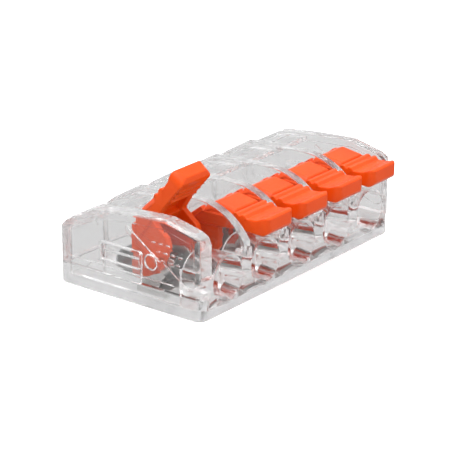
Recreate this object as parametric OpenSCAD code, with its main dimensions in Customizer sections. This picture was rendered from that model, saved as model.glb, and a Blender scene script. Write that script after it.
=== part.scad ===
// Five-pole lever wire connector with a clear two-part housing.
// Millimetres. X runs along the poles, the wires enter along +Y, Z is up.
// The origin is on the underside, midway between the end walls. The back face
// is 9.3 behind it and the tips of the shut levers reach 9.7 in front of it.

/* [Housing] */
// Width over the two end walls
body_w = 29.9; // [29.5:0.1:30.3]
// Distance between neighbouring poles
pitch = 5.6; // [5.5:0.05:5.65]
// Y of the vertical back face
back_y = 9.3; // [9.2:0.05:9.4]
// Y of the front face above the seam
front_y = -7.95; // [-8.05:0.05:-7.9]
// Height of the seam between housing and base
seam_z = 2.05; // [1.95:0.05:2.15]
// Clear width of one pole chamber
bay_w = 4.6; // [4.55:0.05:4.7]
// Thickness of the roof over the chambers
roof_t = 0.65; // [0.55:0.05:0.7]
// Y of the roof edge behind the levers
roof_edge_y = 1.4; // [1.35:0.05:1.6]
// Radius of the upright corners in plan
corner_r = 0.9; // [0.6:0.1:1.1]

/* [Wire entries] */
// Radius of the straight part of each entry
entry_r = 1.95; // [1.8:0.05:2.0]
// Radius of the funnel at the front face
funnel_r = 2.12; // [2.05:0.01:2.14]
// Height of the entry axis
entry_z = 3.2; // [3.15:0.05:3.25]

/* [Levers] */
// Y of the lever pivots
pivot_y = -1.4; // [-1.45:0.05:-1.35]
// Height of the lever pivots
pivot_z = 4.2; // [4.15:0.05:4.25]
// Lever travel from shut to fully open, degrees
lever_open = 52; // [48:1:54]
// Width of a lever
lever_w = 4.4; // [4.3:0.02:4.44]
// Radius of the pivot bosses
boss_r = 0.7; // [0.6:0.05:0.9]

/* [Contacts] */
// Thickness of the busbar
bar_t = 0.6; // [0.5:0.05:0.65]
// Thickness of the spring strip
strip_t = 0.25; // [0.2:0.01:0.26]
// Width of the spring strip
strip_w = 2.2; // [1.9:0.1:2.2]
// Swing of a clamping leg when its lever opens fully, degrees
clamp_open = 26; // [24:1:27]

/* [Hidden] */
poles = 5;
seat_gap = 0.02;
floor_t = 0.8;
wall_t = (body_w - (poles - 1) * pitch - bay_w) / 2;
web_t = pitch - bay_w;
rim_t = 0.9;
base_front_y = front_y + 0.12;
inner_back_y = back_y - 1.0;
block_back_y = -4.75;
block_top_z = 4.3;
post_w = 1.6;
post_top_z = 5.3;
tube_r = 2.32;
funnel_len = 1.15;
roof_z = 8.6;
socket_r = boss_r + 0.05;
socket_depth = 0.38;
boss_len = 0.3;
cheek_t = 0.7;
panel_w = 3.6;
bar_y0 = -2.9;
bar_y1 = 0.5;
bar_z0 = floor_t + 0.1;
bar_top = bar_z0 + bar_t;
bar_w = (poles - 1) * pitch + 4.2;
loop_y = 2.6;
loop_r = 1.15;
loop_z = bar_top + 0.08 + strip_t / 2 + loop_r;
edge_y = -2.45;
edge_z = bar_top + 0.3;
leg_front_y = -1.7;
tab_y0 = -0.55;
tab_y1 = 3.85;
tab_z = 4.9;
lip_x = 14.0;
front_seam_z = 0.95;
plate_x = 1.28;
plate_t = 0.2;
big = 60;
$fn = 64;

function pole_x(k) = (k - 3) * pitch;

// Extrudes a side view, drawn as (y, z), over the width w centred on x.
module side(x, w) {
    translate([x - w / 2, 0, 0])
        rotate([90, 0, 90])
            linear_extrude(height = w)
                children();
}

// A rectangle in plan with round corners.
module plan(x0, x1, y0, y1, r) {
    translate([x0 + r, y0])
        square([x1 - x0 - 2 * r, y1 - y0]);
    translate([x0, y0 + r])
        square([x1 - x0, y1 - y0 - 2 * r]);
    for (x = [x0 + r, x1 - r])
        for (y = [y0 + r, y1 - r])
            translate([x, y])
                circle(r = r);
}

// ---------- housing ----------

// Back, roof and front block, before the chambers are cut.
module shell_side() {
    polygon([
        [front_y, seam_z + seat_gap],
        [back_y, seam_z + seat_gap],
        [back_y, 5.0],
        [back_y - 0.25, 5.75],
        [back_y - 0.75, 6.3],
        [back_y - 1.6, 6.8],
        [4.7, 8.3],
        [3.2, 8.5],
        [roof_edge_y, roof_z],
        [roof_edge_y, block_top_z],
        [front_y, block_top_z],
    ]);
}

// Chamber under the roof, behind the front block.
module chamber_side() {
    polygon([
        [block_back_y, -1],
        [inner_back_y, -1],
        [inner_back_y, 5.3],
        [inner_back_y - 0.6, 6.15],
        [4.45, 8.3 - roof_t],
        [3.1, 8.5 - roof_t],
        [roof_edge_y - 0.01, roof_z - roof_t],
        [roof_edge_y - 0.01, 7],
        [block_back_y, 7],
    ]);
}

// Partition between two chambers: it stands proud of the roof as a rib
// and falls away to the front as a round-topped fin.
module web_side() {
    intersection() {
        polygon([
            [front_y, post_top_z],
            [front_y, seam_z + seat_gap],
            [back_y - 0.4, seam_z + seat_gap],
            [back_y - 0.2, 5.1],
            [back_y - 0.9, 6.45],
            [back_y - 1.7, 7.05],
            [4.8, 8.6],
            [3.2, 8.8],
            [roof_edge_y, 8.9],
            [-3.0, 9.0],
            [front_y, 9.0],
        ]);
        union() {
            translate([-2.5, 2.6])
                circle(r = 6.4, $fn = 128);
            translate([-2.5, 0])
                square([14, 10]);
            translate([front_y, 0])
                square([6, post_top_z]);
        }
    }
}

module end_side(drop) {
    polygon([
        [front_y, seam_z + seat_gap],
        [back_y, seam_z + seat_gap],
        [back_y, 5.0],
        [back_y - 0.25 - drop / 2, 5.75],
        [back_y - 0.75 - drop / 2, 6.3],
        [back_y - 1.6, 6.8 - drop],
        [4.7, 8.35 - drop],
        [1.0, 8.7 - drop],
        [-3.7, 9.0 - drop],
        [-7.1, 8.25 - drop],
        [-7.65, 7.9 - drop],
        [front_y, 7.2 - drop],
    ]);
}

module lower_side() {
    polygon([
        [base_front_y + rim_t + 0.1, floor_t + seat_gap],
        [inner_back_y - 0.05, floor_t + seat_gap],
        [inner_back_y - 0.05, seam_z + 0.3],
        [base_front_y + rim_t + 0.1, seam_z + 0.3],
    ]);
}

// Shallow field on the outer face of an end wall.
module field_side() {
    polygon([
        [-7.0, 2.9],
        [8.15, 2.9],
        [8.15, 5.0],
        [7.3, 6.05],
        [4.4, 7.3],
        [1.0, 7.75],
        [-3.6, 8.05],
        [-6.55, 7.35],
        [-7.0, 6.8],
    ]);
}

// Raised line that crosses the field, thin at the top and broad below.
module line_side() {
    polygon([
        [0.88, 7.42],
        [-3.1, 4.72],
        [-3.24, 4.9],
        [-6.3, 2.83],
        [-5.9, 2.3],
        [-2.84, 4.38],
        [-2.97, 4.58],
        [1.0, 7.25],
    ]);
}

module entry_cut(x) {
    translate([x, front_y, entry_z])
        rotate([-90, 0, 0])
            cylinder(r = entry_r, h = 4);
    translate([x, front_y - 0.01, entry_z])
        rotate([-90, 0, 0])
            cylinder(r1 = funnel_r, r2 = entry_r, h = funnel_len);
}

module housing() {
    color([0.93, 0.95, 0.96, 0.35])
    difference() {
        intersection() {
            union() {
                side(0, body_w)
                    shell_side();
                for (k = [1 : poles - 1]) {
                    side(pole_x(k) + pitch / 2, web_t)
                        web_side();
                    // post at the front of a partition
                    translate([pole_x(k) + pitch / 2 - post_w / 2, front_y, seam_z + 0.5])
                        cube([post_w, 0.8, post_top_z - seam_z - 0.5]);
                }
                // tube around each wire entry
                for (k = [1 : poles])
                    translate([pole_x(k), front_y, entry_z])
                        rotate([-90, 0, 0])
                            cylinder(r = tube_r, h = block_back_y - front_y);
                for (s = [-1, 1]) {
                    side(s * (body_w / 2 - wall_t / 2), wall_t)
                        end_side(0.35);
                    side(s * (body_w / 2 - 0.35 - (wall_t - 0.35) / 2), wall_t - 0.35)
                        end_side(0);
                }
                side(0, 2 * lip_x)
                    lower_side();
                // front wall under the entries, down to the floor of the base
                translate([-lip_x, front_y, front_seam_z + seat_gap])
                    cube([2 * lip_x, 1.4, 1.3]);
            }
            linear_extrude(height = 12)
                plan(-body_w / 2, body_w / 2, front_y, back_y, corner_r);
        }
        for (k = [1 : poles]) {
            side(pole_x(k), bay_w)
                chamber_side();
            entry_cut(pole_x(k));
            translate([pole_x(k), pivot_y, pivot_z])
                rotate([0, 90, 0])
                    cylinder(r = socket_r, h = bay_w + 2 * socket_depth, center = true);
        }
        // way through the partitions for the busbar
        translate([-bar_w / 2 - 0.1, bar_y0 - 0.1, 0])
            cube([bar_w + 0.2, bar_y1 - bar_y0 + 0.2, bar_top + 0.08]);
        for (s = [-1, 1]) {
            // slot in the end wall for a snap tab of the base, and its window
            side(s * (lip_x + 0.27), 0.54)
                translate([tab_y0 - 0.08, 0])
                    square([tab_y1 - tab_y0 + 0.16, tab_z + 0.1]);
            side(s * (body_w / 2 + 0.05), 1.0)
                translate([tab_y0 - 0.08, 3.5])
                    square([tab_y1 - tab_y0 + 0.16, tab_z - 3.4]);
            difference() {
                side(s * body_w / 2, 0.24)
                    field_side();
                side(s * body_w / 2, 0.5)
                    line_side();
            }
        }
    }
}

// ---------- base ----------

module base() {
    color([0.90, 0.93, 0.95, 0.4])
    difference() {
        union() {
            linear_extrude(height = floor_t)
                plan(-body_w / 2, body_w / 2, base_front_y, back_y, corner_r);
            linear_extrude(height = seam_z)
                difference() {
                    plan(-body_w / 2, body_w / 2, base_front_y, back_y, corner_r);
                    plan(-body_w / 2 + rim_t, body_w / 2 - rim_t,
                         base_front_y + rim_t, inner_back_y, 0.3);
                }
            for (s = [-1, 1]) {
                // snap tab with its hook
                side(s * (lip_x + 0.25), 0.4)
                    translate([tab_y0, 1])
                        square([tab_y1 - tab_y0, tab_z - 1]);
                side(s * (lip_x + 0.6), 0.5)
                    translate([tab_y0, 3.6])
                        square([tab_y1 - tab_y0, 0.8]);
            }
            for (k = [1 : poles]) {
                // seats under the busbar
                translate([pole_x(k) - 1.6, bar_y0 + 0.4, floor_t - 0.1])
                    cube([3.2, 0.6, 0.2 - seat_gap]);
                translate([pole_x(k) - 1.6, bar_y1 - 1.0, floor_t - 0.1])
                    cube([3.2, 0.6, 0.2 - seat_gap]);
            }
        }
        // low front rim under the entries
        translate([-lip_x - 0.05, base_front_y - 1, front_seam_z])
            cube([2 * lip_x + 0.1, 2.2, 3]);
    }
}

// ---------- busbar ----------

// Upright side plate of the cage around one clamp.
module plate_side() {
    polygon([
        [-1.5, bar_z0 + 0.1],
        [bar_y1, bar_z0 + 0.1],
        [bar_y1, 4.2],
        [bar_y1 - 0.3, 4.5],
        [-1.2, 4.7],
        [-2.4, 4.95],
        [-3.3, 4.3],
        [-1.5, bar_top + 0.05],
    ]);
}

module busbar() {
    color([0.80, 0.80, 0.78])
    difference() {
        union() {
            translate([-bar_w / 2, bar_y0, bar_z0])
                cube([bar_w, bar_y1 - bar_y0, bar_t]);
            for (k = [1 : poles])
                for (s = [-1, 1])
                    side(pole_x(k) + s * plate_x, plate_t)
                        plate_side();
        }
        for (k = [1 : poles - 1])
            for (y = [bar_y0, bar_y1])
                translate([pole_x(k) + pitch / 2, y, 0])
                    cylinder(r = 0.45, h = 4);
    }
}

// ---------- clamp springs ----------

// Arc of the strip about the loop centre, from angle a0 to a1.
module strip_arc(a0, a1) {
    difference() {
        circle(r = loop_r + strip_t / 2);
        circle(r = loop_r - strip_t / 2);
        rotate(a1)
            translate([-3, 0])
                square([6, 3]);
        rotate(a0)
            translate([-3, -3])
                square([6, 3]);
    }
}

module spring(k) {
    color([0.55, 0.56, 0.57])
    side(pole_x(k), strip_w) {
        translate([loop_y, loop_z]) {
            strip_arc(-90, 33);
        }
        translate([leg_front_y, loop_z - loop_r - strip_t / 2])
            square([loop_y - leg_front_y, strip_t]);
    }
}

edge_dy = edge_y - loop_y;
edge_dz = edge_z - loop_z;
edge_len = sqrt(edge_dy * edge_dy + edge_dz * edge_dz);
leg_len = sqrt(edge_len * edge_len - loop_r * loop_r);
tangent_a = 360 + atan2(edge_dz, edge_dy) - acos(loop_r / edge_len);

// Clamping leg, drawn shut and turned about the loop centre.
module clamp(k, turn) {
    color([0.62, 0.63, 0.64])
    translate([0, loop_y, loop_z])
        rotate([-turn, 0, 0])
            side(pole_x(k), strip_w) {
                strip_arc(63, tangent_a);
                rotate(tangent_a)
                    translate([loop_r - strip_t / 2, 0])
                        square([strip_t, leg_len]);
            }
}

// ---------- levers ----------

// Side views are drawn shut, as (y, z) from the pivot.
module arm_side() {
    polygon([
        [-1.3, 3.55],
        [-5.6, 3.55],
        [-6.3, 3.74],
        [-7.0, 3.86],
        [-8.15, 4.05],
        [-8.25, 3.9],
        [-8.3, 2.75],
        [-7.9, 2.35],
        [-4.6, 2.5],
        [-3.1, 2.35],
        [0.2, 2.35],
    ]);
}

module panel_side() {
    polygon([
        [-1.15, 3.4],
        [-1.35, 4.0],
        [-2.15, 4.35],
        [-4.4, 4.0],
        [-6.3, 3.78],
        [-6.3, 3.4],
    ]);
}

module cheek_side() {
    polygon([
        [-3.1, 2.6],
        [-3.1, 0.3],
        [-2.5, -0.5],
        [-1.2, -0.9],
        [0.9, -0.9],
        [2.6, -0.05],
        [3.1, 0.75],
        [-1.0, 3.9],
        [-1.3, 3.55],
    ]);
    circle(r = 1.25);
}

module lever(k, turn) {
    color([0.95, 0.30, 0.08])
    translate([pole_x(k), pivot_y, pivot_z])
        rotate([-turn, 0, 0])
            difference() {
                union() {
                    intersection() {
                        union() {
                            side(0, lever_w)
                                arm_side();
                            side(0, panel_w)
                                panel_side();
                        }
                        linear_extrude(height = 8)
                            plan(-lever_w / 2, lever_w / 2, -8.3, 2, 0.95);
                    }
                    for (s = [-1, 1])
                        side(s * (lever_w / 2 - cheek_t / 2), cheek_t)
                            cheek_side();
                    // grip ribs across the arm
                    for (y = [-4.75, -5.6])
                        translate([0, y, 3.72])
                            rotate([0, 90, 0])
                                cylinder(r = 0.32, h = lever_w - 0.5, center = true);
                    // pivot bosses
                    rotate([0, 90, 0])
                        cylinder(r = boss_r, h = lever_w + 2 * boss_len, center = true);
                }
                // the wire and the spring pass between the cheeks
                translate([-lever_w / 2 + cheek_t, -2.9, -2])
                    cube([lever_w - 2 * cheek_t, 8, 4.35]);
                // hollow under the arm
                translate([-1.35, -6.6, 1])
                    cube([2.7, 3.3, 2.0]);
            }
}

housing();
base();
busbar();
lever(1, lever_open);  // lever_1
lever(2, 0);  // lever_2
lever(3, 0);  // lever_3
lever(4, 0);  // lever_4
lever(5, 0);  // lever_5
spring(1);  // spring_1
spring(2);  // spring_2
spring(3);  // spring_3
spring(4);  // spring_4
spring(5);  // spring_5
clamp(1, clamp_open);  // clamp_1
clamp(2, 0);  // clamp_2
clamp(3, 0);  // clamp_3
clamp(4, 0);  // clamp_4
clamp(5, 0);  // clamp_5
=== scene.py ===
import math
import bpy
import bmesh
from mathutils.bvhtree import BVHTree
from mathutils import Vector, Matrix


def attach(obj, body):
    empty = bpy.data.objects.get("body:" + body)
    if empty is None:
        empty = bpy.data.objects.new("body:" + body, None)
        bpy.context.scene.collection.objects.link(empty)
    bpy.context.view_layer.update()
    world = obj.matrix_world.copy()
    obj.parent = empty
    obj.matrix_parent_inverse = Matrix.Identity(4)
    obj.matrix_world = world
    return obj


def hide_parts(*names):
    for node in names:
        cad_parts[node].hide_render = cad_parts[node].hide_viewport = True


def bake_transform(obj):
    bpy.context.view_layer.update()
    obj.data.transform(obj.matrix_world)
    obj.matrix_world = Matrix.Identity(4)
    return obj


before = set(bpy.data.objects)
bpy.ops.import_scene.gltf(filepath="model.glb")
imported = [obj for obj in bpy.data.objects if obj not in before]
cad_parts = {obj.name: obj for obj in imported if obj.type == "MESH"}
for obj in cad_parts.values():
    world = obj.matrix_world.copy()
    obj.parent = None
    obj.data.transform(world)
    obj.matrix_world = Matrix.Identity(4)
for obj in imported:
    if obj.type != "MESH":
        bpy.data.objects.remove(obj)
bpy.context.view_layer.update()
MM = 0.001
POLES = 5
PITCH = 5.6


def pole_x(k):
    return (k - 3) * PITCH


# ---------------------------------------------------------------- materials
def new_mat(name):
    m = bpy.data.materials.new(name)
    m.use_nodes = True
    nt = m.node_tree
    for n in list(nt.nodes):
        nt.nodes.remove(n)
    out = nt.nodes.new("ShaderNodeOutputMaterial")
    return m, nt, out


def noise(nt, scale, detail=4.0, rough=0.5, coord=None):
    if coord is None:
        tc = nt.nodes.new("ShaderNodeTexCoord")
        coord = tc.outputs["Object"]
    n = nt.nodes.new("ShaderNodeTexNoise")
    n.inputs["Scale"].default_value = scale
    n.inputs["Detail"].default_value = detail
    n.inputs["Roughness"].default_value = rough
    nt.links.new(coord, n.inputs["Vector"])
    return n.outputs["Fac"]


def ramp(nt, fac, stops):
    r = nt.nodes.new("ShaderNodeValToRGB")
    el = r.color_ramp.elements
    while len(el) < len(stops):
        el.new(0.5)
    for e, (p, c) in zip(el, stops):
        e.position = p
        e.color = c if len(c) == 4 else (c[0], c[1], c[2], 1.0)
    nt.links.new(fac, r.inputs["Fac"])
    return r.outputs["Color"]


def maprange(nt, fac, a, b, c, d):
    m = nt.nodes.new("ShaderNodeMapRange")
    m.inputs["From Min"].default_value = a
    m.inputs["From Max"].default_value = b
    m.inputs["To Min"].default_value = c
    m.inputs["To Max"].default_value = d
    nt.links.new(fac, m.inputs["Value"])
    return m.outputs["Result"]


def bump(nt, fac, strength, distance):
    b = nt.nodes.new("ShaderNodeBump")
    b.inputs["Strength"].default_value = strength
    b.inputs["Distance"].default_value = distance
    nt.links.new(fac, b.inputs["Height"])
    return b.outputs["Normal"]


def clear_plastic(name, tint, rough_lo, rough_hi, through=0.97, wave=0.08):
    m, nt, out = new_mat(name)
    p = nt.nodes.new("ShaderNodeBsdfPrincipled")
    p.inputs["Base Color"].default_value = (tint[0], tint[1], tint[2], 1.0)
    p.inputs["Transmission Weight"].default_value = through
    p.inputs["IOR"].default_value = 1.50
    p.inputs["Specular IOR Level"].default_value = 0.5
    f = noise(nt, 900.0, 3.0)
    nt.links.new(maprange(nt, f, 0.3, 0.7, rough_lo, rough_hi), p.inputs["Roughness"])
    g = noise(nt, 260.0, 2.0)
    nt.links.new(bump(nt, g, wave, 0.00004), p.inputs["Normal"])
    path = nt.nodes.new("ShaderNodeLightPath")
    passing = nt.nodes.new("ShaderNodeBsdfTransparent")
    passing.inputs["Color"].default_value = (0.90, 0.90, 0.90, 1.0)
    either = nt.nodes.new("ShaderNodeMath")
    either.operation = "MAXIMUM"
    nt.links.new(path.outputs["Is Shadow Ray"], either.inputs[0])
    nt.links.new(path.outputs["Is Diffuse Ray"], either.inputs[1])
    mix = nt.nodes.new("ShaderNodeMixShader")
    nt.links.new(either.outputs["Value"], mix.inputs["Fac"])
    nt.links.new(p.outputs["BSDF"], mix.inputs[1])
    nt.links.new(passing.outputs["BSDF"], mix.inputs[2])
    nt.links.new(mix.outputs["Shader"], out.inputs["Surface"])
    return m


def orange_plastic(name):
    m, nt, out = new_mat(name)
    p = nt.nodes.new("ShaderNodeBsdfPrincipled")
    f = noise(nt, 350.0, 3.0)
    col = ramp(nt, f, [(0.3, (0.78, 0.070, 0.002)), (0.7, (0.85, 0.084, 0.003))])
    nt.links.new(col, p.inputs["Base Color"])
    g = noise(nt, 2600.0, 5.0, 0.6)
    nt.links.new(maprange(nt, g, 0.3, 0.7, 0.30, 0.42), p.inputs["Roughness"])
    p.inputs["IOR"].default_value = 1.46
    p.inputs["Specular IOR Level"].default_value = 0.3
    p.inputs["Subsurface Weight"].default_value = 0.12
    p.inputs["Subsurface Radius"].default_value = (0.0011, 0.0004, 0.0002)
    p.inputs["Subsurface Scale"].default_value = 1.0
    nt.links.new(bump(nt, g, 0.14, 0.00003), p.inputs["Normal"])
    nt.links.new(p.outputs["BSDF"], out.inputs["Surface"])
    return m


def metal(name, colour, colour2, rough_lo, rough_hi, stretch):
    m, nt, out = new_mat(name)
    p = nt.nodes.new("ShaderNodeBsdfPrincipled")
    p.inputs["Metallic"].default_value = 1.0
    tc = nt.nodes.new("ShaderNodeTexCoord")
    mp = nt.nodes.new("ShaderNodeMapping")
    mp.inputs["Scale"].default_value = stretch
    nt.links.new(tc.outputs["Object"], mp.inputs["Vector"])
    f = noise(nt, 700.0, 6.0, 0.65, mp.outputs["Vector"])
    col = ramp(nt, f, [(0.3, colour), (0.7, colour2)])
    nt.links.new(col, p.inputs["Base Color"])
    nt.links.new(maprange(nt, f, 0.25, 0.75, rough_lo, rough_hi), p.inputs["Roughness"])
    nt.links.new(bump(nt, f, 0.12, 0.00002), p.inputs["Normal"])
    nt.links.new(p.outputs["BSDF"], out.inputs["Surface"])
    return m


CLEAR = clear_plastic("clear_polycarbonate", (0.985, 0.985, 0.985), 0.04, 0.09, 0.99)
FROST = clear_plastic("clear_polycarbonate_frosted", (0.965, 0.965, 0.965), 0.14, 0.24, 0.97, 0.03)
CLEAR_BASE = clear_plastic("clear_polycarbonate_base", (0.985, 0.985, 0.985), 0.05, 0.10, 0.98)
ORANGE = orange_plastic("orange_lever_plastic")
STEEL = metal("spring_steel", (0.16, 0.16, 0.165), (0.26, 0.26, 0.265), 0.22, 0.36, (1.0, 0.15, 1.0))
TIN = metal("tinned_copper", (0.58, 0.575, 0.565), (0.70, 0.69, 0.68), 0.26, 0.42, (0.2, 1.0, 1.0))


def put_material(o, m):
    o.data.materials.clear()
    o.data.materials.append(m)
    for p in o.data.polygons:
        p.material_index = 0


def smooth(o, angle=30):
    """Smooth shading that keeps broad flat faces flat and turns only along the rounded edges."""
    for p in o.data.polygons:
        p.use_smooth = True
    o.data.set_sharp_from_angle(angle=math.radians(angle))
    w = o.modifiers.new("flat", "WEIGHTED_NORMAL")
    w.mode = "FACE_AREA"
    w.weight = 100
    w.keep_sharp = True
    dg = bpy.context.evaluated_depsgraph_get()
    me = bpy.data.meshes.new_from_object(o.evaluated_get(dg))
    o.modifiers.clear()
    o.data = me


# ---------------------------------------------------------------- mesh tools
def fillet(pts, seg=5):
    """Rounds the corners of a polygon given as (a, b, radius)."""
    out = []
    n = len(pts)
    for i in range(n):
        a, b, r = pts[i]
        if r <= 0:
            out.append((a, b))
            continue
        p = Vector((a, b))
        u = Vector(pts[i - 1][:2]) - p
        w = Vector(pts[(i + 1) % n][:2]) - p
        ang = u.angle(w)
        t = min(r / math.tan(ang / 2), u.length * 0.49, w.length * 0.49)
        rr = t * math.tan(ang / 2)
        c = p + (u.normalized() + w.normalized()).normalized() * (rr / math.sin(ang / 2))
        s = p + u.normalized() * t - c
        e = p + w.normalized() * t - c
        turn = s.angle_signed(e)
        for k in range(seg + 1):
            q = s.copy()
            q.rotate(Matrix.Rotation(-turn * k / seg, 2))
            out.append((c.x + q.x, c.y + q.y))
    return out


def solid(name, verts, faces):
    me = bpy.data.meshes.new(name)
    me.from_pydata([tuple(v) for v in verts], [], faces)
    bm = bmesh.new()
    bm.from_mesh(me)
    bmesh.ops.remove_doubles(bm, verts=bm.verts, dist=1e-5)
    bmesh.ops.recalc_face_normals(bm, faces=bm.faces)
    bm.to_mesh(me)
    bm.free()
    o = bpy.data.objects.new(name, me)
    bpy.context.scene.collection.objects.link(o)
    return o


def loft(name, rings):
    """A closed solid through rings that have the same number of points."""
    n = len(rings[0])
    verts = [v for ring in rings for v in ring]
    faces = [tuple(range(n - 1, -1, -1))]
    for a in range(len(rings) - 1):
        for i in range(n):
            j = (i + 1) % n
            faces.append((a * n + i, a * n + j, (a + 1) * n + j, (a + 1) * n + i))
    m = (len(rings) - 1) * n
    faces.append(tuple(range(m, m + n)))
    return solid(name, verts, faces)


def side(pts, x0, x1, name="side"):
    """A side view, as (y, z), over x0..x1."""
    return loft(name, [[(x, p[0], p[1]) for p in pts] for x in (x0, x1)])


def plan(pts, z0, z1, name="plan"):
    return loft(name, [[(p[0], p[1], z) for p in pts] for z in (z0, z1)])


def block(x0, x1, y0, y1, z0, z1, name="block"):
    return plan([(x0, y0), (x1, y0), (x1, y1), (x0, y1)], z0, z1, name)


def round_box(a0, a1, b0, b1, r, seg=3):
    return fillet([(a0, b0, r), (a1, b0, r), (a1, b1, r), (a0, b1, r)], seg)


def round_plan(x0, x1, y0, y1, r, z0, z1, seg=8, name="plan"):
    return plan(round_box(x0, x1, y0, y1, r, seg), z0, z1, name)


def circle(r, seg):
    turns = [2 * math.pi * i / seg for i in range(seg)]
    return [(r * math.cos(a), r * math.sin(a)) for a in turns]


def rod_x(y, z, r, x0, x1, seg=40):
    return side([(y + a, z + b) for a, b in circle(r, seg)], x0, x1, "rod")


def rod_y(x, z, stations, seg=48):
    """A turned shape along Y through (y, radius) stations."""
    rings = []
    for y, r in stations:
        rings.append([(x + a, y, z + b) for a, b in circle(r, seg)])
    return loft("rod", rings)


def rod_z(x, y, r, z0, z1, seg=32):
    return plan([(x + a, y + b) for a, b in circle(r, seg)], z0, z1)


def combine(base_o, steps):
    """Applies (operation, solid) steps to base_o and removes the tools."""
    for n, (op, t) in enumerate(steps):
        m = base_o.modifiers.new("b%d" % n, "BOOLEAN")
        m.operation = op
        m.solver = "MANIFOLD"
        m.object = t
    dg = bpy.context.evaluated_depsgraph_get()
    me = bpy.data.meshes.new_from_object(base_o.evaluated_get(dg))
    base_o.modifiers.clear()
    base_o.data = me
    for op, t in steps:
        bpy.data.objects.remove(t)
    return base_o


def soften(o, width, segments=2, limit=28.0):
    """Rounds the edges sharper than limit degrees and keeps the result inside the solid's box."""
    bm = bmesh.new()
    bm.from_mesh(o.data)
    bmesh.ops.remove_doubles(bm, verts=bm.verts, dist=0.012)
    bmesh.ops.dissolve_limit(bm, angle_limit=math.radians(0.6), verts=bm.verts, edges=bm.edges)
    bmesh.ops.triangulate(bm, faces=[f for f in bm.faces if len(f.verts) > 4])
    tree = BVHTree.FromBMesh(bm)
    lo = [min(v.co[i] for v in bm.verts) for i in range(3)]
    hi = [max(v.co[i] for v in bm.verts) for i in range(3)]
    bm.to_mesh(o.data)
    bm.free()
    b = o.modifiers.new("edge", "BEVEL")
    b.width = width
    b.segments = segments
    b.limit_method = "ANGLE"
    b.angle_limit = math.radians(limit)
    b.use_clamp_overlap = False
    b.miter_outer = "MITER_ARC"
    dg = bpy.context.evaluated_depsgraph_get()
    me = bpy.data.meshes.new_from_object(o.evaluated_get(dg))
    o.modifiers.clear()
    # points thrown out where short edges meet go back to the solid's surface
    for v in me.vertices:
        near, normal, index, gap = tree.find_nearest(v.co)
        if gap > width * 0.45:
            v.co = near
        for i in range(3):
            v.co[i] = min(max(v.co[i], lo[i]), hi[i])
    o.data = me
    return o


def seat(o, name, mat, body, nodes=(), matrix=None, angle=55):
    """Scales a finished piece to metres, gives it its body and material and hides the CAD parts it stands in
    for.
    """
    o.name = name
    o.data.name = name
    o.data.transform((matrix if matrix else Matrix.Identity(4)))
    o.data.transform(Matrix.Scale(MM, 4))
    put_material(o, mat)
    smooth(o, angle)
    if nodes:
        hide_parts(*nodes)
    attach(o, body)
    return o


# ---------------------------------------------------------------- levers
PIVOT = (-1.4, 4.2)
OPEN = 52.0


def build_lever():
    """One lever in millimetres, shut, about its pivot."""
    arm = fillet([
        (-1.3, 3.55, 0), (-4.25, 3.58, 0), (-4.42, 3.74, 0.1), (-4.60, 3.97, 0.16),
        (-4.95, 3.97, 0.16), (-5.20, 3.73, 0.16),
        (-5.40, 3.95, 0.16), (-5.76, 3.93, 0.16), (-6.02, 3.66, 0.2), (-6.98, 3.72, 0.9), (-7.98, 4.03, 0.2),
        (-8.23, 3.92, 0.16), (-8.30, 2.78, 0.25), (-7.92, 2.36, 0.2), (-4.6, 2.5, 0.3),
        (-3.1, 2.35, 0), (0.2, 2.35, 0)], 4)
    o = side(arm, -2.2, 2.2, "lever")
    # flat panel behind the grips, with sloping sides
    panel = [(-1.10, 3.40), (-1.35, 4.0), (-2.15, 4.35), (-4.32, 4.02), (-4.50, 3.40)]
    rings = []
    for x, d in ((-1.98, 0.42), (-1.62, 0.0), (1.62, 0.0), (1.98, 0.42)):
        rings.append([(x, y, z - (d if z > 3.5 else 0)) for y, z in panel])
    p = loft("panel", rings)
    plan_cut = round_plan(-2.2, 2.2, -8.3, 2.0, 0.95, -1, 8, 10)
    steps = [("UNION", p), ("INTERSECT", plan_cut)]
    cheek = fillet([
        (-3.1, 2.6, 0), (-3.1, 0.3, 0.5), (-2.5, -0.5, 0.4), (-1.2, -0.9, 0.5), (0.9, -0.9, 0.6),
        (2.6, -0.05, 0.5), (3.1, 0.75, 0.4), (-1.0, 3.9, 0.1), (-1.3, 3.55, 0)], 4)
    for s in (-1, 1):
        x0, x1 = sorted((s * 2.16, s * 1.5))
        steps.append(("UNION", side(cheek, x0, x1)))
        x0, x1 = sorted((s * 2.14, s * 1.52))
        steps.append(("UNION", rod_x(0, 0, 1.25, x0, x1)))
        x0, x1 = sorted((s * 2.5, s * 1.54))
        steps.append(("UNION", rod_x(0, 0, 0.7, x0, x1)))
    for y in (-5.35, -6.05, -6.75):
        steps.append(("UNION", rod_x(y, 2.50, 0.20, -1.85, 1.85, 20)))
    steps.append(("DIFFERENCE", block(-1.5, 1.5, -2.9, 5.1, -2, 2.349)))
    steps.append(("DIFFERENCE", block(-1.35, 1.35, -4.75, -2.85, 1.0, 3.0)))
    combine(o, steps)
    return soften(o, 0.12, 3, 26)


lever_mesh = build_lever()
for k in range(1, POLES + 1):
    lv = bpy.data.objects.new("lever_part_%d" % k, lever_mesh.data.copy())
    bpy.context.scene.collection.objects.link(lv)
    turn = OPEN if k == 1 else 0.0
    m = Matrix.Translation((pole_x(k), PIVOT[0], PIVOT[1]))
    m = m @ Matrix.Rotation(math.radians(-turn), 4, "X")
    seat(lv, "lever_part_%d" % k, ORANGE, "lever_%d_body" % k, ["lever_%d" % k], m)
bpy.data.objects.remove(lever_mesh)


# ---------------------------------------------------------------- housing
W2 = 14.95
FRONT, BACK = -7.95, 9.3
BASE_FRONT = -7.83
CORNER = 1.05
SEAM = 2.07


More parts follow.
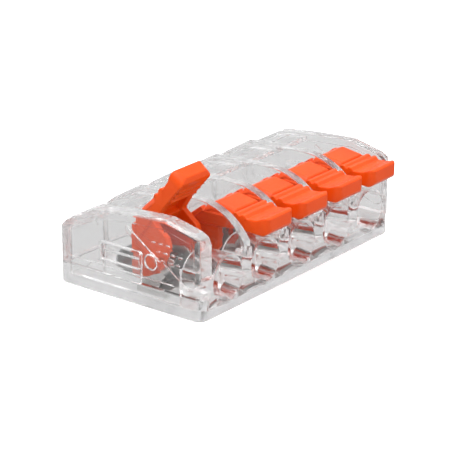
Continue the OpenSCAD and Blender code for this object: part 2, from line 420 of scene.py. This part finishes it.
def end_profile(d):
    return fillet([
        (FRONT, SEAM, 0), (BACK, SEAM, 0), (BACK, 4.8, 1.2), (BACK - 0.30 - d / 2, 5.60, 0.9),
        (BACK - 0.95 - d / 2, 6.25, 1.1), (BACK - 1.75, 6.76 - d, 1.5),
        (4.7, 8.36 - d, 3.0), (1.0, 8.72 - d, 3.0),
        (-3.7, 9.0 - d, 1.2), (-7.0, 8.27 - d, 0.6), (-7.65, 7.88 - d, 0.5), (FRONT, 7.2 - d, 0.4)], 5)


def build_housing():
    shell = fillet([
        (FRONT, SEAM, 0), (BACK, SEAM, 0), (BACK, 4.8, 1.2), (BACK - 0.32, 5.55, 0.9),
        (BACK - 0.95, 6.15, 0.9),
        (BACK - 1.75, 6.6, 1.2), (4.7, 8.14, 2.0), (3.2, 8.36, 1.5), (1.4, 8.46, 0.15), (1.4, 4.3, 0),
        (FRONT, 4.3, 0.0)], 5)
    o = side(shell, -W2, W2, "housing")
    steps = []
    # partitions, proud of the roof as ribs and falling away in front as fins
    fin_y, fin_z, fin_r = -2.5, 2.6, 6.4
    turns = [math.radians(a) for a in range(90, 154, 3)]
    arc = [(fin_y + fin_r * math.cos(a), fin_z + fin_r * math.sin(a)) for a in turns]
    web = [(4.8, 8.6), (3.2, 8.8), (1.4, 8.9), (-1.0, 8.98)] + arc + [
        (FRONT, 5.3), (FRONT, SEAM), (BACK - 0.4, SEAM), (BACK - 0.2, 4.95), (BACK - 0.5, 5.7),
        (BACK - 1.0, 6.35), (BACK - 1.8, 6.98)]
    web = [(max(y, FRONT), z) for y, z in web]
    for k in range(1, POLES):
        x = pole_x(k) + PITCH / 2
        steps.append(("UNION", side(web, x - 0.5, x + 0.5)))
        steps.append(("UNION", block(x - 0.8, x + 0.8, FRONT, FRONT + 0.8, 2.6, 5.3)))
    for k in range(1, POLES + 1):
        steps.append(("UNION", rod_y(pole_x(k), 3.2, [(FRONT, 2.32), (-4.76, 2.32)])))
    for s in (-1, 1):
        rings = []
        for x, d in ((13.5, 0.0), (14.62, 0.0), (14.95, 0.30)):
            rings.append([(s * x, y, z) for y, z in end_profile(d)])
        steps.append(("UNION", loft("end", rings)))
    steps.append(("UNION", block(-14.0, 14.0, -6.83, 8.25, 0.82, 2.35)))
    steps.append(("UNION", block(-14.0, 14.0, FRONT, -6.55, 0.97, 2.27)))
    steps.append(("INTERSECT", round_plan(-W2, W2, FRONT, BACK, CORNER, -1, 12, 7)))
    room = fillet([
        (-4.75, -1, 0), (8.3, -1, 0), (8.3, 5.3, 0.5), (7.7, 6.15, 0.6), (4.45, 7.65, 1.5), (3.1, 7.85, 1.0),
        (1.39, 7.95, 0), (1.39, 9.6, 0), (-4.75, 9.6, 0)], 4)
    for k in range(1, POLES + 1):
        x = pole_x(k)
        steps.append(("DIFFERENCE", side(room, x - 2.3, x + 2.3)))
        mouth = [
            (FRONT - 0.2, 2.125), (FRONT, 2.12), (FRONT + 0.35, 2.08), (FRONT + 1.15, 1.95), (-4.0, 1.95)]
        steps.append(("DIFFERENCE", rod_y(x, 3.2, mouth)))
        steps.append(("DIFFERENCE", rod_x(PIVOT[0], PIVOT[1], 0.75, x - 2.68, x + 2.68)))
    steps.append(("DIFFERENCE", block(-13.4, 13.4, -3.0, 0.6, -0.5, 1.58)))
    for s in (-1, 1):
        x0, x1 = sorted((s * 14.0, s * 14.54))
        steps.append(("DIFFERENCE", block(x0, x1, -0.63, 3.93, -0.5, 5.0)))
        x0, x1 = sorted((s * 14.3, s * 15.5))
        steps.append(("DIFFERENCE", side(round_box(-0.63, 3.93, 3.5, 5.0, 0.15), x0, x1)))
        field = fillet([
            (-7.0, 2.9, 0.3), (8.15, 2.9, 0.3), (8.15, 5.0, 0.6), (7.3, 6.05, 0.6),
            (4.4, 7.3, 1.5), (1.0, 7.75, 1.5),
            (-3.6, 8.05, 1.0), (-6.55, 7.35, 0.6), (-7.0, 6.8, 0.3)], 4)
        x0, x1 = sorted((s * 14.83, s * 15.3))
        # shallow field, less what stands in it: the slanting line, the window's rim, plain bars
        dent = side(field, x0, x1)
        x0, x1 = sorted((s * 14.6, s * 15.5))
        line = side([
            (0.85, 7.48), (-3.1, 4.80), (-3.24, 4.98), (-6.3, 2.91),
            (-5.85, 2.2), (-2.70, 4.18), (-2.83, 4.38), (1.0, 7.02)], x0, x1)
        keep = [("DIFFERENCE", line)]
        keep.append(("DIFFERENCE", side(round_box(-0.92, 4.2, 3.25, 5.27, 0.2), x0, x1)))
        for row, n in ((6.55, 3), (5.75, 4), (4.95, 3)):
            for i in range(n):
                y = -2.3 - 0.85 * i - (6.55 - row) * 0.7
                keep.append(("DIFFERENCE", block(x0, x1, y - 0.22, y + 0.22, row - 0.07, row + 0.07)))
        combine(dent, keep)
        steps.append(("DIFFERENCE", dent))
    combine(o, steps)
    return soften(o, 0.08, 2, 32)


def split_finish(o, mats, test):
    """Gives each face the material whose index test returns."""
    o.data.materials.clear()
    for m in mats:
        o.data.materials.append(m)
    for p in o.data.polygons:
        p.material_index = test(p)


def frosted_face(p):
    """1 for the roof, the fins and what stands in the end wall's field, else 0."""
    c, n = p.center / MM, p.normal
    roof = n.z > 0.25 and c.z > 6.6 and abs(c.x) < 13.7
    flush = abs(n.x) > 0.9 and abs(c.x) > 14.9
    line = -6.4 < c.y < 1.05 and 2.9 < c.z < 7.5
    rim = -1.0 < c.y < 4.3 and 3.2 < c.z < 5.3
    return 1 if roof or (flush and (line or rim)) else 0


ho = build_housing()
seat(ho, "clear_housing_part", CLEAR, "body", ["housing"])
split_finish(ho, [CLEAR, FROST], frosted_face)


def build_base():
    rings = []
    for z, d in ((0.0, 0.10), (0.03, 0.03), (0.10, 0.0), (2.05, 0.0)):
        pts = round_box(-W2 + d, W2 - d, BASE_FRONT + d, BACK - d, CORNER - d, 8)
        rings.append([(x, y, z) for x, y in pts])
    o = loft("base", rings)
    steps = [("DIFFERENCE", round_plan(-14.05, 14.05, -6.93, 8.3, 0.3, 0.8, 4.0, 4))]
    steps.append(("DIFFERENCE", block(-14.05, 14.05, -9.0, -6.5, 0.95, 4.0)))
    for s in (-1, 1):
        x0, x1 = sorted((s * 14.05, s * 14.45))
        steps.append(("UNION", block(x0, x1, -0.55, 3.85, 1.0, 4.9)))
        x0, x1 = sorted((s * 14.3, s * 14.85))
        hook = [(-0.55, 3.6), (3.85, 3.6), (3.85, 4.4), (-0.55, 4.4)]
        steps.append(("UNION", side(hook, x0, x1)))
    for k in range(1, POLES + 1):
        x = pole_x(k)
        steps.append(("UNION", block(x - 1.6, x + 1.6, -2.5, -1.9, 0.7, 0.88)))
        steps.append(("UNION", block(x - 1.6, x + 1.6, -0.5, 0.1, 0.7, 0.88)))
    combine(o, steps)
    return soften(o, 0.08, 2, 28)


seat(build_base(), "clear_base_part", CLEAR_BASE, "body", ["base"])


# ---------------------------------------------------------------- contacts
def build_bar():
    o = block(-13.3, 13.3, -2.9, 0.5, 0.9, 1.5, "busbar")
    steps = []
    plate = fillet([
        (-1.5, 1.0, 0), (0.5, 1.0, 0), (0.5, 4.5, 0.3), (-1.2, 4.7, 0.5), (-2.4, 4.95, 0.3),
        (-3.3, 4.3, 0.2), (-1.5, 1.55, 0.3)], 4)
    for k in range(1, POLES + 1):
        for s in (-1, 1):
            x = pole_x(k) + s * 1.28
            steps.append(("UNION", side(plate, x - 0.1, x + 0.1)))
    for k in range(1, POLES):
        for y in (-2.9, 0.5):
            steps.append(("DIFFERENCE", rod_z(pole_x(k) + PITCH / 2, y, 0.45, 0.5, 4.0)))
    combine(o, steps)
    return soften(o, 0.05, 2, 28)


seat(build_bar(), "busbar_part", TIN, "body", ["busbar"])

LOOP = (2.6, 2.855)
LOOP_R, STRIP_T, STRIP_W = 1.15, 0.25, 2.2
EDGE = (-2.45, 1.8)


def strip_path(turn):
    """Middle line of one leaf spring: fixed leg, loop, clamping leg, as (y, z) stations."""
    dy, dz = EDGE[0] - LOOP[0], EDGE[1] - LOOP[1]
    length = math.hypot(dy, dz)
    tang = math.degrees(math.atan2(dz, dy)) + 360 - math.degrees(math.acos(LOOP_R / length))
    pts = []
    for i in range(9):
        pts.append((-1.7 + (LOOP[0] + 1.7) * i / 9, LOOP[1] - LOOP_R))
    a0, a1 = -90.0, tang - turn
    n = 40
    for i in range(n + 1):
        a = math.radians(a0 + (a1 - a0) * i / n)
        pts.append((LOOP[0] + LOOP_R * math.cos(a), LOOP[1] + LOOP_R * math.sin(a)))
    leg = math.sqrt(length * length - LOOP_R * LOOP_R)
    a = math.radians(a1)
    d = (-math.sin(a), math.cos(a))
    y, z = pts[-1]
    for i in range(1, 13):
        t = leg * i / 12
        pts.append((y + d[0] * t, z + d[1] * t))
    return pts


def build_strip(k, turn):
    pts = strip_path(turn)
    n = len(pts)
    x = pole_x(k)
    rings = []
    for i, p in enumerate(pts):
        q0, q1 = pts[max(0, i - 1)], pts[min(n - 1, i + 1)]
        d = Vector((q1[0] - q0[0], q1[1] - q0[1])).normalized()
        nrm = Vector((-d.y, d.x))
        w = STRIP_W / 2
        near_end = min(1.0, (n - 1 - i) / 3.0)
        w = w - 0.18 * (1 - near_end)
        h = STRIP_T / 2
        ring = []
        for sx, sn in ((-1, -1), (1, -1), (1, 1), (-1, 1)):
            c = 0.05
            if sx == sn:
                a = [(sx * w, sn * (h - c)), (sx * (w - c), sn * h)]
            else:
                a = [(sx * (w - c), sn * h), (sx * w, sn * (h - c))]
            for wx, hn in a:
                ring.append((x + wx, p[0] + nrm.x * hn, p[1] + nrm.y * hn))
        rings.append(ring)
    return loft("strip", rings)


for k in range(1, POLES + 1):
    st = build_strip(k, 26.0 if k == 1 else 0.0)
    name = "spring_strip_%d" % k
    st.name = name
    st.data.name = name
    st.data.transform(Matrix.Scale(MM, 4))
    put_material(st, STEEL)
    smooth(st, 35)
    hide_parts("spring_%d" % k, "clamp_%d" % k)
    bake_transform(st)


# ---------------------------------------------------------------- stage
floor_m, nt, out = new_mat("floor")
lp = nt.nodes.new("ShaderNodeLightPath")
d = nt.nodes.new("ShaderNodeBsdfDiffuse")
d.inputs["Color"].default_value = (0.9, 0.9, 0.9, 1)
e1 = nt.nodes.new("ShaderNodeEmission")
e1.inputs["Strength"].default_value = 0.45
add = nt.nodes.new("ShaderNodeAddShader")
nt.links.new(d.outputs["BSDF"], add.inputs[0])
nt.links.new(e1.outputs["Emission"], add.inputs[1])
e2 = nt.nodes.new("ShaderNodeEmission")
e2.inputs["Color"].default_value = (1.0, 1.0, 1.0, 1)
e2.inputs["Strength"].default_value = 0.69
mix = nt.nodes.new("ShaderNodeMixShader")
nt.links.new(lp.outputs["Is Camera Ray"], mix.inputs["Fac"])
nt.links.new(e2.outputs["Emission"], mix.inputs[1])
nt.links.new(add.outputs["Shader"], mix.inputs[2])
nt.links.new(mix.outputs["Shader"], out.inputs["Surface"])
me = bpy.data.meshes.new("floor")
s = 0.6
me.from_pydata([(-s, -s, 0), (s, -s, 0), (s, s, 0), (-s, s, 0)], [], [(0, 1, 2, 3)])
floor = bpy.data.objects.new("floor", me)
bpy.context.scene.collection.objects.link(floor)
floor.location = (0, 0, -0.00002)
put_material(floor, floor_m)

world = bpy.data.worlds.new("world")
bpy.context.scene.world = world
world.use_nodes = True
wn = world.node_tree
bg = wn.nodes["Background"]
tcw = wn.nodes.new("ShaderNodeTexCoord")
sep = wn.nodes.new("ShaderNodeSeparateXYZ")
wn.links.new(tcw.outputs["Generated"], sep.inputs["Vector"])
sky = wn.nodes.new("ShaderNodeValToRGB")
stops = [(0.0, 0.90), (0.10, 0.85), (0.30, 0.62), (0.55, 1.05), (0.82, 1.25), (0.90, 3.0)]
while len(sky.color_ramp.elements) < len(stops):
    sky.color_ramp.elements.new(0.5)
for el, (p, c) in zip(sky.color_ramp.elements, stops):
    el.position = p
    el.color = (c, c, c * 1.01, 1)
wn.links.new(sep.outputs["Z"], sky.inputs["Fac"])
wn.links.new(sky.outputs["Color"], bg.inputs["Color"])
bg.inputs["Strength"].default_value = 0.85
bgc = wn.nodes.new("ShaderNodeBackground")
bgc.inputs["Color"].default_value = (1, 1, 1, 1)
bgc.inputs["Strength"].default_value = 1.0
wlp = wn.nodes.new("ShaderNodeLightPath")
wmix = wn.nodes.new("ShaderNodeMixShader")
wn.links.new(wlp.outputs["Is Camera Ray"], wmix.inputs["Fac"])
wn.links.new(bg.outputs["Background"], wmix.inputs[1])
wn.links.new(bgc.outputs["Background"], wmix.inputs[2])
wn.links.new(wmix.outputs["Shader"], wn.nodes["World Output"].inputs["Surface"])


def area(name, loc, target, size, power, colour=(1, 1, 1), size_y=None):
    L = bpy.data.lights.new(name, "AREA")
    L.energy = power
    L.color = colour
    L.shape = "RECTANGLE"
    L.size = size
    L.size_y = size_y if size_y else size
    o = bpy.data.objects.new(name, L)
    bpy.context.scene.collection.objects.link(o)
    o.location = Vector(loc)
    d = Vector(target) - Vector(loc)
    o.rotation_euler = d.to_track_quat("-Z", "Y").to_euler()
    return o


area("key", (-0.12, 0.04, 0.24), (0, 0, 0.004), 0.14, 0.28)
area("fill", (0.06, -0.24, 0.12), (0, 0, 0.004), 0.14, 0.10)

# ---------------------------------------------------------------- camera
AZ, EL = math.radians(-51.966), math.radians(20.628)
DIST = 212.203                     # mm from the aim point
AIM = Vector((0, 0.7, 0))          # mm, on the floor under the part
ASIDE, ABOVE = 0.368, 2.899        # mm, how far the camera is moved left and up from that line
LENS = 176.0                       # mm, on a 36 mm sensor
backv = Vector((math.sin(AZ) * math.cos(EL), -math.cos(AZ) * math.cos(EL), math.sin(EL)))
right = Vector((math.cos(AZ), math.sin(AZ), 0))
up = backv.cross(right)
loc = AIM + backv * DIST - right * ASIDE + up * ABOVE
cam_d = bpy.data.cameras.new("camera")
cam_d.sensor_width = 36.0
cam_d.sensor_height = 36.0
cam_d.lens = LENS
cam_d.clip_start = 0.01
cam_d.clip_end = 5.0
cam = bpy.data.objects.new("camera", cam_d)
bpy.context.scene.collection.objects.link(cam)
rot = Matrix((right, up, backv)).transposed()
cam.matrix_world = Matrix.Translation(loc * MM) @ rot.to_4x4()
bpy.context.scene.camera = cam

sc = bpy.context.scene
sc.view_settings.view_transform = "Standard"
sc.view_settings.look = "None"
sc.cycles.max_bounces = 40
sc.cycles.transmission_bounces = 40
sc.cycles.transparent_max_bounces = 24
sc.cycles.glossy_bounces = 32
sc.cycles.diffuse_bounces = 6
sc.cycles.use_denoising = True
